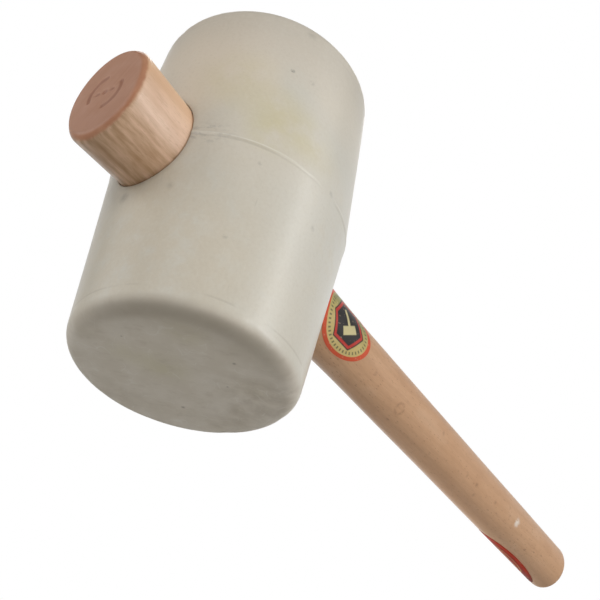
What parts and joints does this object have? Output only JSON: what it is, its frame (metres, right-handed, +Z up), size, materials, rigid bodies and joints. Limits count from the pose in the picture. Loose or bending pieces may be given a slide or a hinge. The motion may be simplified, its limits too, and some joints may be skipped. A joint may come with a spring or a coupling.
{
  "type": "rubber mallet",
  "caption": "Rubber mallet: a double-tapered white rubber head on an oval beech handle that stands out through the head's top and wedges in a tapered eye.",
  "frame": {"origin": "centre of the lower striking face, on the head's axis", "axes": "+Z up the head's axis to the upper striking face, +X along the handle from the thick end to the butt, +Y across the handle, away from the side with the oval label"},
  "size_m": [0.3905, 0.09, 0.1385],
  "materials": {
    "white_rubber": "matt moulded off-white rubber, scuffed grey-brown on the striking faces",
    "lacquered_beech": "clear satin lacquer over fine beech grain with short dark flecks",
    "printed_label": "printed film, gold field with an orange-red border and a black centre",
    "red_label": "printed film, dark red"
  },
  "bodies": {
    "head": {"rubber_head": "white_rubber"},
    "handle": {"handle": "lacquered_beech", "oval_label": "printed_label", "butt_label": "red_label"}
  },
  "joints": [
    {"name": "handle_drive_out", "type": "slide", "parent": "head", "child": "handle", "axis": [-1, 0, 0], "range_m": [0, 0.37]}
  ]
}
